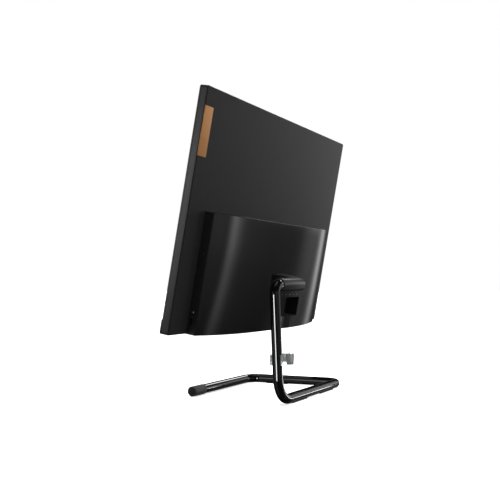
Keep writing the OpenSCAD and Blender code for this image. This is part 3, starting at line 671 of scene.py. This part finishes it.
def vents():
    """Cutters for the vents: over the fins, under the blower and under each speaker."""
    top, bottom = HOUSE_HIGH[2], HOUSE_LOW[2]
    above = (top - WALL - PAST, top + PAST)
    below = (bottom - PAST, bottom + WALL + PAST)
    fins_low, fins_high = head_box("fin_stack")
    cuts = slots(fins_low[0] + 4, fins_high[0] - 4, 15, 5, 20, *above, 2.2)
    blower_x, blower_half = 69, 45
    cuts += slots(blower_x - blower_half, blower_x + blower_half, 19, 6, 22, *below, 2.2)
    speaker_x, speaker_half = 165, 30
    for x in (-speaker_x, speaker_x):
        cuts += slots(x - speaker_half, x + speaker_half, 11, 4, 12, *below, 2)
    return cuts


def build_housing():
    """The curved cover, with its side walls in another finish, vents and holes for what sits behind it."""
    def side_hole(radius, y, z, steps):
        return lathe(pin_profile(radius, SIDE_FACE_X, HALF + PAST, SHARP), along_x(0, y, z), steps)

    def side_slot(y0, y1, z0, z1, radius):
        return prism(round_rect(y0, y1, z0, z1, radius), SIDE_FACE_X, HALF + PAST, axis=0)

    def is_rear(face):
        return abs(face.normal.x) <= 0.25 or abs(face.calc_center_median().x) <= SIDE_FACE_X

    inner = loft([[(x, y, z) for x, y in section(WALL, -PAST)] for z in (WALL, HOUSE_HIGH[2] - WALL)])
    bay_hole = box((BAY_LOW[0] - GAP, -PAST, -PAST), (BAY_HIGH[0] + GAP, BEHIND, BAY_HIGH[2] + GAP))
    _, jack_y, jack_z = middle("audio_jack")
    _, light_y, light_z = middle("activity_light")
    port_low, port_high = head_box("side_port")
    _, lock_y, lock_z = head_point("lock_slot")
    half_y, half_z = LOCK_SLOT[0] / 2, LOCK_SLOT[1] / 2
    cuts = [
        bay_hole, *vents(), side_hole(3.0, jack_y, jack_z, 40), side_hole(0.85, light_y, light_z, 20),
        side_slot(port_low[1] - 0.1, port_high[1] + 0.1, port_low[2] - 0.2, port_high[2] + 0.2, 1.6),
        side_slot(lock_y - half_y, lock_y + half_y, lock_z - half_z, lock_z + half_z, 1.0),
    ]
    shell = boolean(boolean(housing_solid(), inner), join(*cuts))
    shell, sides = split_faces(shell, is_rear)
    piece("housing_shell", shell, HEAD, "head", "satin_housing_plastic", ["compute_cover"], angle=28)
    piece("housing_sides", sides, HEAD, "head", "bezel_plastic")


RECESS_X = (BAY_LOW[0] + BAY_WALL, BAY_HIGH[0] - BAY_WALL)
RECESS_Y = 8.0
RECESS_Z = (20.0, head_box("power_inlet")[0][2] - 0.2)
USB_WIDTH = 5.0
USB_SKIN = 0.4


def usb_mouths():
    """Where the three USB sockets' mouths start in X, and how far they reach in Y."""
    low, high = head_box("usb_ports")
    pitch = (high[0] - low[0] - USB_WIDTH - 2 * USB_SKIN) / 2
    return [low[0] + USB_SKIN + i * pitch for i in range(3)], (low[1] + USB_SKIN, high[1] - USB_SKIN)


def socket_mouths():
    """Cutters through the recess's ceiling, one at each socket's mouth."""
    z0, z1 = RECESS_Z[1] - PAST, RECESS_Z[1] + BAY_WALL + PAST
    cuts = []
    for node, skin in (("power_inlet", 0.5), ("network_port", 0.5), ("video_port", 0.4)):
        low, high = head_box(node)
        plan = round_rect(low[0] + skin, high[0] - skin, low[1] + skin, high[1] - skin, 0.8, 4)
        cuts.append(prism(plan, z0, z1, axis=2))
    starts, (y0, y1) = usb_mouths()
    cuts += [prism(round_rect(x, x + USB_WIDTH, y0, y1, 0.4, 4), z0, z1, axis=2) for x in starts]
    return cuts


def finger_scoop():
    """Cutter for the shallow round hollow under the recess."""
    x, half, deep = -48.5, 19.0, 1.5
    radius = (half ** 2 + deep ** 2) / (2 * deep)
    place = Matrix.Translation((x, depth(x) + radius - deep, 0))
    return lathe(pin_profile(radius, -2 * PAST, RECESS_Z[0] + 2 * PAST, 0.5), place, 220)


def build_bay():
    """The panel with the socket recess, whose walls have a duller finish, and the marks over the sockets."""
    x0, x1 = RECESS_X
    z0, z1 = RECESS_Z
    inner_front, inner_rear = 0.5, DEEP - WALL - 1.8

    def is_outside(face):
        at = face.calc_center_median()
        in_recess = z0 - 0.5 < at.z < z1 + 0.5 and x0 - 0.5 < at.x < x1 + 0.5 and at.y < depth(at.x) - 0.3
        return not in_recess

    block = box((BAY_LOW[0], -PAST, -PAST), (BAY_HIGH[0], BEHIND, BAY_HIGH[2]))
    recess = plate(x0, x1, z0, z1, 2.0, RECESS_Y, BEHIND, 1.2, 0)
    below = box((x0, inner_front, WALL), (x1, inner_rear, z0 - BAY_WALL))
    above = box((x0, inner_front, z1 + BAY_WALL), (x1, inner_rear, BAY_HIGH[2] + PAST))
    panel = boolean(housing_solid(), block, "INTERSECT")
    panel = boolean(panel, join(recess, below, above))
    panel = boolean(panel, join(*socket_mouths()))
    panel = boolean(panel, finger_scoop())
    panel, liner = split_faces(panel, is_outside)
    piece("socket_panel", panel, HEAD, "head", "satin_housing_plastic", ["io_bay"], angle=28)
    piece("recess_liner", liner, HEAD, "head", "bay_plastic")

    usb_half, wide_half = 1.2, 3.0
    marks = [(x + USB_WIDTH / 2, usb_half) for x in usb_mouths()[0]]
    for node, half in (("power_inlet", wide_half), ("network_port", usb_half), ("video_port", wide_half)):
        marks.append((middle(node)[0], half))
    mark_low, mark_high = z1 + 4, z1 + 5.2
    tabs = [plate(x - half, x + half, mark_low, mark_high, 0.5, depth(x) - 0.3, depth(x) + 0.04, 0, 0.02, 2)
            for x, half in marks]
    piece("socket_marks", join(*tabs), HEAD, "head", "button_plastic")


def build_side_sockets():
    """The audio socket: a collar with a bore, closed at its inner end by the socket's body."""
    low, high = head_box("audio_jack")
    _, y, z = middle("audio_jack")
    bore_r, outer_r = 1.8, 2.9
    bore_end = high[0] - 13.9
    collar = lathe(ring_profile(bore_r, outer_r, bore_end, high[0], 0.3), along_x(0, y, z), 48, closed=True)
    body = lathe(pin_profile(outer_r, low[0], bore_end + 0.1, 0.2), along_x(0, y, z), 48)
    piece("jack_socket", join(collar, body), HEAD, "head", "socket_plastic", ["audio_jack"])


# ---------- hinge ----------

HINGE = JOINTS["head_tilt"]["pos_m"]
BARREL_LOW, BARREL_HIGH = head_box("hinge_barrel")
_, HINGE_Y, HINGE_Z = middle("hinge_barrel")
BARREL_R = (BARREL_HIGH[2] - BARREL_LOW[2]) / 2
BORE_R = 8.0


def build_hinge():
    """The cowl on the housing, and the barrel and its cap that turn about the tube's end."""
    low, high = head_box("hinge_cover")
    half = BARREL_R + 0.3
    root_y, shoulder_y, nose_y, chamfer = low[1] - 2, HINGE_Y - 6, HINGE_Y - 1, 1.2
    outline = [(root_y, high[2]), (root_y, low[2]), (shoulder_y, HINGE_Z - half),
               (nose_y, HINGE_Z - half + chamfer), (nose_y, HINGE_Z + half - chamfer),
               (shoulder_y, HINGE_Z + half)]
    cowl = soften(prism(outline, low[0], high[0], axis=0), 1.1, 4)
    piece("hinge_cowl", cowl, HEAD, "head", "matt_cover_plastic", ["hinge_cover"], mirrored=False)

    axis = along_x(0, HINGE_Y, HINGE_Z)
    sleeve = ring_profile(BORE_R, BARREL_R, BARREL_LOW[0], BARREL_HIGH[0], 0.6)
    piece("hinge_sleeve", lathe(sleeve, axis, 96, closed=True), HEAD, "head", "barrel_metal",
          ["hinge_barrel"], mirrored=False)

    low, high = head_box("barrel_cap")
    disc = lathe(pin_profile(BARREL_R, low[0], low[0] + 1, 0.4), axis, 96)
    spigot = lathe(pin_profile(BORE_R - 0.1, low[0] + 0.5, high[0], 0.3), axis, 64)
    piece("hinge_cap", join(disc, spigot), HEAD, "head", "barrel_metal", ["barrel_cap"], mirrored=False)


# ---------- stand ----------
# The leg leans by LEAN. FOOT_X is where the middle of the bend at its foot has to be for the straight leg to
# run on from that bend into the elbow.

TUBE_LOW, TUBE_HIGH = stand_box("stand_tube")
SLEEVE_LOW, SLEEVE_HIGH = stand_box("foot_sleeve")
TUBE_R = 7.5
CORNER_BEND = 22.0
LEG_BEND = 40.0
ELBOW = 13.0
LEAN = math.atan2(JOINTS["clip_turn"]["axis"][0], JOINTS["clip_turn"]["axis"][2])
LEG_Y = HINGE[1] * MM
TOP_Z = HINGE[2] * MM
TUBE_Z = TUBE_LOW[2] + TUBE_R
FRONT_Y = TUBE_LOW[1] + TUBE_R
SIDE_X = TUBE_LOW[0] + TUBE_R
ELBOW_X = TUBE_HIGH[0] - ELBOW - TUBE_R
LEG_RISE = TOP_Z - ELBOW - TUBE_Z - LEG_BEND
FOOT_X = ELBOW_X + (ELBOW - LEG_BEND - LEG_RISE * math.sin(LEAN)) / math.cos(LEAN)
LONGEST = 12.0  # longest step along a straight run of the tube
FRONT_END = 2.0  # from the sleeve's outer end to the tube's end inside it
TOP_END = 14.0  # from the barrel's +X end to the tube's end inside it


def tube_path():
    """The tube's centre line: front bar, two corners, rear bar, foot, leg, elbow and into the barrel."""
    front_corner = (SIDE_X + CORNER_BEND, FRONT_Y + CORNER_BEND)
    rear_corner = (SIDE_X + CORNER_BEND, LEG_Y - CORNER_BEND)
    lean = math.degrees(LEAN)
    path = [(SLEEVE_HIGH[0] - FRONT_END, FRONT_Y, TUBE_Z), (SLEEVE_LOW[0] - 4, FRONT_Y, TUBE_Z)]
    path += [(x, y, TUBE_Z) for x, y in circle(front_corner, CORNER_BEND, 270, 180, 20)]
    path += [(x, y, TUBE_Z) for x, y in circle(rear_corner, CORNER_BEND, 180, 90, 20)]
    path += [(x, LEG_Y, z) for x, z in circle((FOOT_X, TUBE_Z + LEG_BEND), LEG_BEND, -90, -lean, 28)]
    path += [(x, LEG_Y, z) for x, z in circle((ELBOW_X, TOP_Z - ELBOW), ELBOW, -lean, 90, 22)]
    return path + [(BARREL_HIGH[0] - TOP_END, LEG_Y, TOP_Z)]


def filled(path):
    """The path with long straight runs cut into shorter ones."""
    out = [Vector(path[0])]
    for p in map(Vector, path[1:]):
        start = out[-1]
        steps = max(1, math.ceil((p - start).length / LONGEST))
        out += [start.lerp(p, k / steps) for k in range(1, steps + 1)]
    return out


def build_stand():
    """The bent tube, and the rubber sleeve on its free end with the disc that closes it."""
    piece("bent_tube", sweep(filled(tube_path()), TUBE_R, 64), STAND, "stand", "gloss_black_tube",
          ["stand_tube"], angle=50, mirrored=False)

    r_out = (SLEEVE_HIGH[2] - SLEEVE_LOW[2]) / 2
    low, high = SLEEVE_LOW[0], SLEEVE_HIGH[0]
    inner_rim, outer_rim, lip = 0.35, 1.1, 0.4
    disc_r = r_out - 1.9
    profile = [(TUBE_R - 0.3, low + 0.2), (TUBE_R + 0.1, low)]
    profile += circle((r_out - inner_rim, low + inner_rim), inner_rim, -90, 0, 4)
    profile += [(r_out, low + 3), (r_out, high - 6)]
    profile += circle((r_out - outer_rim, high - outer_rim), outer_rim, 0, 90, 6)
    profile += [(r_out - 1.6, high), (disc_r, high - lip), (0, high - lip)]
    axis = along_x(0, FRONT_Y, (SLEEVE_LOW[2] + SLEEVE_HIGH[2]) / 2)
    piece("end_sleeve", lathe(profile, axis, 96), STAND, "stand", "grey_rubber", ["foot_sleeve"])
    disc = pin_profile(disc_r, high - 0.9, high - 0.25, 0.15)
    piece("end_disc", lathe(disc, axis, 72), STAND, "stand", "matt_cover_plastic")


def build_clip():
    """Snap ring open to +X with rolled lips, and a slit loop behind it for a cable."""
    tall, wall, ring_r = 15.4, 1.6, TUBE_R + 0.05
    loop_r, loop_y, rise, slit_half = 4.4, 20.7, 2.2, 1.4
    lip_x, lip_y, lip_r = 3.5, 8.9, 1.2
    web_half, web_foot = 2, 5.6
    low, high = -tall / 2, tall / 2
    out = ring_r + wall
    top = high + rise

    def post(radius, x, y, z0, z1):
        return lathe(pin_profile(radius, z0, z1, SHARP), Matrix.Translation((x, y, 0)), 72)

    ring = boolean(post(out, 0, 0, low, high), post(ring_r, 0, 0, low - PAST, high + PAST))
    ring = boolean(ring, box((lip_x, -out - PAST, low - PAST), (out + PAST, out + PAST, high + PAST)))
    for side in (-1, 1):
        ring = boolean(ring, post(lip_r, lip_x, side * lip_y, low, high), "UNION")
    loop = boolean(post(loop_r + wall, 0, loop_y, low + rise, top),
                   post(loop_r, 0, loop_y, low + rise - PAST, top + PAST))
    web = box((-web_half, out - wall / 2, low + web_foot), (web_half, loop_y - loop_r - wall / 2, top))
    slit = box((-loop_r - wall - PAST, loop_y - slit_half, low - PAST), (0, loop_y + slit_half, top + PAST))
    body = boolean(boolean(ring, web, "UNION"), loop, "UNION")
    body = soften(boolean(body, slit), 0.25, 2, 45)
    place = Matrix.Translation(Vector(JOINTS["clip_turn"]["pos_m"]) * MM)
    piece("clip_body", body, STAND @ place @ Matrix.Rotation(LEAN, 4, "Y"), "clip", "clear_grey_clip",
          ["cable_clip"], mirrored=False)


# ---------- camera, floor and light ----------

CAMERA_AT = (1.25124, 0.57322, 0.18521)
LOOKS_FROM = 114.862  # degrees round from the front
LOOKS_UP = 2.524


def build_camera():
    """The photo's camera: its place and lens were fitted to the slab's corners and the base's bars."""
    data = bpy.data.cameras.new("camera")
    data.sensor_width = 36.0
    data.lens = 62.27
    data.shift_y = -0.0155
    data.clip_end = 50
    camera = bpy.data.objects.new("camera", data)
    azimuth, rise = math.radians(LOOKS_FROM), math.radians(LOOKS_UP)
    ahead = Vector((-math.sin(azimuth) * math.cos(rise), math.cos(azimuth) * math.cos(rise), math.sin(rise)))
    camera.location = CAMERA_AT
    camera.rotation_euler = ahead.to_track_quat("-Z", "Y").to_euler()
    SCENE.collection.objects.link(camera)
    SCENE.camera = camera


def build_floor():
    """A white floor that catches the shadow and neither lights the object nor shows in its gloss."""
    bm = bmesh.new()
    bmesh.ops.create_grid(bm, x_segments=8, y_segments=8, size=12)
    mesh = bpy.data.meshes.new("floor")
    bm.to_mesh(mesh)
    bm.free()
    floor = bpy.data.objects.new("floor", mesh)
    floor.location.z = -0.0002
    material = bpy.data.materials.new("floor_white")
    material.use_nodes = True
    shader = material.node_tree.nodes["Principled BSDF"]
    shader.inputs["Base Color"].default_value = (0.93, 0.93, 0.93, 1)
    shader.inputs["Roughness"].default_value = 0.9
    shader.inputs["Specular IOR Level"].default_value = 0.1
    mesh.materials.append(material)
    floor.visible_glossy = False
    floor.visible_diffuse = False
    SCENE.collection.objects.link(floor)


def build_world():
    """White to the camera, a soft fill for the matt parts and a dark studio with soft boxes for the gloss."""
    world = bpy.data.worlds.new("studio")
    world.use_nodes = True
    world.cycles.sampling_method = "NONE"
    SCENE.world = world
    tree = world.node_tree
    tree.nodes.clear()
    new, link = tree.nodes.new, tree.links.new

    def maths(operation, first, second=None, value=None):
        node = new("ShaderNodeMath")
        node.operation = operation
        link(first, node.inputs[0])
        if second is not None:
            link(second, node.inputs[1])
        if value is not None:
            node.inputs[1].default_value = value
        return node.outputs[0]

    def ramp(factor, stops):
        node = new("ShaderNodeValToRGB")
        fill_ramp(node.color_ramp, stops)
        link(factor, node.inputs["Fac"])
        return node.outputs["Color"]

    def mix(factor, first, second):
        node = new("ShaderNodeMix")
        for socket, source in (("Factor", factor), ("A", first), ("B", second)):
            if isinstance(source, float):
                node.inputs[socket].default_value = source
            else:
                link(source, node.inputs[socket])
        return node.outputs["Result"]

    place = new("ShaderNodeTexCoord")
    split = new("ShaderNodeSeparateXYZ")
    path = new("ShaderNodeLightPath")
    background = new("ShaderNodeBackground")
    background.inputs["Color"].default_value = (1, 1, 1, 1)
    output = new("ShaderNodeOutputWorld")
    link(place.outputs["Generated"], split.inputs["Vector"])
    turns = maths("MULTIPLY", maths("ARCTAN2", split.outputs["Y"], split.outputs["X"]), value=0.5 / math.pi)
    azimuth = maths("ADD", turns, value=0.5)
    rise = maths("ADD", maths("MULTIPLY", split.outputs["Z"], value=0.5), value=0.5)
    gloss = None
    for round_stops, height_stops in STUDIO:
        shape = maths("MULTIPLY", ramp(azimuth, by_azimuth(round_stops)), ramp(rise, by_height(height_stops)))
        gloss = shape if gloss is None else maths("ADD", gloss, shape)
    level = mix(path.outputs["Is Glossy Ray"], ramp(rise, by_height(FILL_HEIGHTS)), gloss)
    level = mix(path.outputs["Is Camera Ray"], maths("MULTIPLY", level, value=TENTHS), 1.0)
    link(level, background.inputs["Strength"])
    link(background.outputs["Background"], output.inputs["Surface"])


def by_azimuth(stops):
    """Ramp stops from (degrees from +X towards +Y, level) pairs."""
    return [((degrees + 180) / 360, level) for degrees, level in stops]


def by_height(stops):
    """Ramp stops from (degrees above the horizon, level) pairs."""
    return [((math.sin(math.radians(degrees)) + 1) / 2, level) for degrees, level in stops]


def fill_ramp(ramp, stops):
    """Sets a colour ramp to grey levels at the given positions."""
    while len(ramp.elements) > 1:
        ramp.elements.remove(ramp.elements[-1])
    ramp.elements[0].position = stops[0][0]
    ramp.elements[0].color = (stops[0][1],) * 3 + (1,)
    for position, value in stops[1:]:
        ramp.elements.new(position).color = (value,) * 3 + (1,)


def soft_light(name, place, target, size, power, shadow=True):
    """A rectangular lamp at a place that faces a target and shows in no gloss."""
    data = bpy.data.lights.new(name, "AREA")
    data.shape = "RECTANGLE"
    data.size, data.size_y = size
    data.energy = power
    light = bpy.data.objects.new(name, data)
    light.location = place
    light.rotation_euler = (Vector(target) - Vector(place)).to_track_quat("-Z", "Y").to_euler()
    light.visible_glossy = False
    data.use_shadow = shadow
    SCENE.collection.objects.link(light)
    return light


def tube_lights():
    """Soft boxes beside the leg and behind the base that light only the tube and show in its gloss."""
    leg_x, leg_y = (ELBOW_X + ELBOW) / MM, LEG_Y / MM
    beside = Vector((leg_x + 0.5, leg_y - 0.01, -0.06))
    behind = Vector((-0.94, leg_y + 0.4, -0.075))
    rear_bar = (-0.02, leg_y, TUBE_Z / MM)
    lights = [soft_light("leg", beside, beside - Vector((0.5, 0, 0)), (0.17, 0.33), 3.3, shadow=False),
              soft_light("bar", behind, rear_bar, (0.18, 0.055), 0.28, shadow=False)]
    tube = bpy.data.collections.new("tube_lights")
    tube.objects.link(bpy.data.objects["bent_tube"])
    for light in lights:
        light.visible_glossy = True
        light.light_linking.receiver_collection = tube


# Brightness of the studio, in tenths. FILL_HEIGHTS is the soft light that shades the matt parts, by height in
# degrees. Gloss sees the shapes in STUDIO: each is a brightness by direction, in degrees from +X towards +Y,
# times a brightness by height. SOFT_BOXES are what the curved rear mirrors and SIDE_WINDOW is what the side
# walls towards the camera mirror. BARREL_SPOT and BACK_BOX draw thin highlights on the barrel and the base,
# REAR_BOX brightens the slab's matt cover and OVERHEAD is a dim ceiling.
TENTHS = 10.0
FILL_HEIGHTS = [(-90, 0.02), (-8, 0.02), (8, 0.025), (30, 0.06), (60, 0.28), (90, 0.42)]
SOFT_BOXES = [
    (-180, 0.045), (-178.5, 0.02), (-176.3, 0.005), (-172, 0.003), (-150, 0.01), (-110, 0.015), (-75, 0.01),
    (-15, 0.01), (9, 0.01), (40, 0.008), (60, 0.02), (69, 0.06), (78, 0.02), (100, 0.015), (120, 0.03),
    (127, 0.03), (130, 0.034), (135, 0.02), (138.2, 0.17), (140, 0.07), (143, 0.025), (147, 0.016),
    (157, 0.007), (160, 0.006), (162, 0.02), (166, 0.026), (170, 0.018), (173, 0.03), (176.5, 0.12),
    (178.5, 0.095), (180, 0.045),
]
BOX_HEIGHTS = [
    (-90, 0.05), (-30, 0.1), (-20, 0.35), (-9, 0.6), (-5, 0.85), (0, 1.0), (9, 1.0), (14, 0.08), (90, 0.05),
]
SIDE_WINDOW = [(-180, 0), (-75, 0), (-50, 1), (-19, 1), (-15, 0), (180, 0)]
SIDE_BANDS = [
    (-90, 0.02), (-20, 0.02), (-8, 0.03), (-3.5, 0.07), (-2, 0.05), (-0.8, 0.15), (0.4, 0.3), (1.8, 0.28),
    (3.4, 0.05), (5, 0.03), (6.6, 0.04), (7.8, 0.12), (9, 0.5), (10.2, 0.6), (11.4, 0.35), (14, 0.03),
    (40, 0.02), (90, 0.02),
]
BARREL_SPOT = [(-180, 0), (159, 0), (161, 1), (169, 1), (171, 0), (180, 0)]
BARREL_HEIGHTS = [(-90, 0), (15, 0), (16.5, 0.12), (19, 0.12), (20.5, 0), (90, 0)]
BACK_BOX = [(-180, 1), (-176, 1), (-172, 0), (172, 0), (176, 1), (180, 1)]
BACK_HEIGHTS = [(-90, 0), (24, 0), (26, 0.5), (30, 0.5), (32, 0), (90, 0)]
REAR_BOX = [(-180, 0), (140, 0), (148, 1), (168, 1), (176, 0), (180, 0)]
REAR_HEIGHTS = [(-90, 0), (0, 0), (4, 0.09), (10, 0.09), (14, 0), (90, 0)]
ALL_ROUND = [(-180, 1), (180, 1)]
OVERHEAD = [(-90, 0), (58, 0), (64, 0.04), (90, 0.04)]
STUDIO = ((SOFT_BOXES, BOX_HEIGHTS), (SIDE_WINDOW, SIDE_BANDS), (BARREL_SPOT, BARREL_HEIGHTS),
          (BACK_BOX, BACK_HEIGHTS), (REAR_BOX, REAR_HEIGHTS), (ALL_ROUND, OVERHEAD))

dress_nodes()
build_slab()
build_bezel()
build_chin()
build_camera_lens()
build_shutter()
build_button()
build_housing()
build_bay()
build_side_sockets()
build_hinge()
build_stand()
build_clip()
build_camera()
build_floor()
build_world()
soft_light("key", (-0.4, 0.8, 2.4), (0, 0, 0.1), (2.0, 2.0), 8)
soft_light("side", (-0.62, 0.42, 0.38), (-0.25, 0.0, 0.28), (0.3, 0.5), 12, shadow=False)
tube_lights()
SCENE.view_settings.view_transform = "Standard"
SCENE.view_settings.look = "None"
